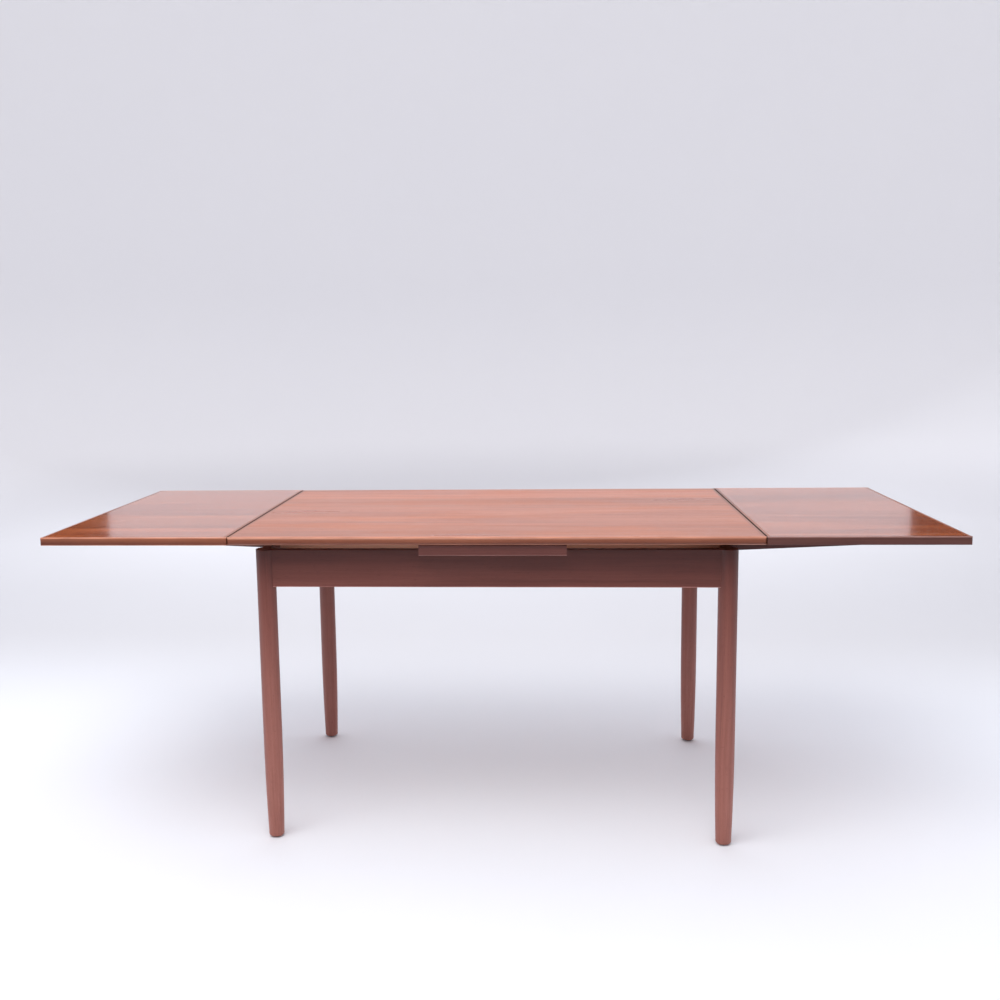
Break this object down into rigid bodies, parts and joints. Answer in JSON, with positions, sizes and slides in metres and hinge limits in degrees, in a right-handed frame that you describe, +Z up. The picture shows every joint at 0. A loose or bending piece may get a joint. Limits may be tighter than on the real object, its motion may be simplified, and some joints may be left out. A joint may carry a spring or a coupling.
{
  "type": "draw leaf table",
  "caption": "Extending wooden dining table on round tapered legs, with leaves drawn out level at both ends of a loose top.",
  "frame": {"origin": "on the floor, under the middle of the extended table", "axes": "+X along the table's length towards the right leaf, +Y towards the back, +Z up"},
  "size_m": [2.07, 0.8, 0.735],
  "materials": {
    "teak_top": "worn satin lacquer over warm teak veneer",
    "teak_leaf": "satin lacquer over teak veneer",
    "teak_edging": "satin lacquer over solid teak edging",
    "teak_frame": "satin lacquer over solid teak",
    "beech": "raw beech",
    "zinc_steel": "zinc plated",
    "felt": "green wool felt",
    "glide": "worn nickel plate"
  },
  "bodies": {
    "frame": {"back_apron": "teak_frame", "bearer_guide_back": "beech", "bearer_guide_front": "beech", "bolt_nuts": "zinc_steel", "bolt_washers": "zinc_steel", "centre_board": "beech", "centre_board_edge_back": "teak_edging", "centre_board_edge_front": "teak_edging", "centre_board_screws": "zinc_steel", "corner_block_back_left": "beech", "corner_block_back_right": "beech", "corner_block_front_left": "beech", "corner_block_front_right": "beech", "corner_block_screws": "zinc_steel", "end_apron_dowels": "beech", "felt_pads": "felt", "foot_glides": "glide", "front_apron": "teak_frame", "hanger_bolts": "zinc_steel", "left_apron": "teak_frame", "leg_back_left": "teak_frame", "leg_back_right": "teak_frame", "leg_front_left": "teak_frame", "leg_front_right": "teak_frame", "long_apron_dowels": "beech", "right_apron": "teak_frame"},
    "top": {"top_lipping_back": "teak_edging", "top_lipping_front": "teak_edging", "top_lipping_left": "teak_edging", "top_lipping_right": "teak_edging", "top_panel": "teak_top", "top_peg_back": "beech", "top_peg_front": "beech"},
    "left_leaf": {"left_bearer_back": "teak_frame", "left_bearer_front": "teak_frame", "left_bearer_screws": "zinc_steel", "left_bearer_stops": "beech", "left_leaf_lipping_back": "teak_edging", "left_leaf_lipping_front": "teak_edging", "left_leaf_lipping_inner": "teak_edging", "left_leaf_lipping_outer": "teak_edging", "left_leaf_panel": "teak_leaf"},
    "right_leaf": {"right_bearer_back": "teak_frame", "right_bearer_front": "teak_frame", "right_bearer_screws": "zinc_steel", "right_bearer_stops": "beech", "right_leaf_lipping_back": "teak_edging", "right_leaf_lipping_front": "teak_edging", "right_leaf_lipping_inner": "teak_edging", "right_leaf_lipping_outer": "teak_edging", "right_leaf_panel": "teak_leaf"}
  },
  "joints": [
    {"name": "top_lift", "type": "slide", "parent": "frame", "child": "top", "axis": [0, 0, 1], "range_m": [0, 0.04]},
    {"name": "left_leaf_draw", "type": "slide", "parent": "frame", "child": "left_leaf", "axis": [-0.9991, 0, 0.042], "range_m": [0, 0.012]},
    {"name": "right_leaf_draw", "type": "slide", "parent": "frame", "child": "right_leaf", "axis": [0.9991, 0, 0.042], "range_m": [0, 0.012]}
  ]
}
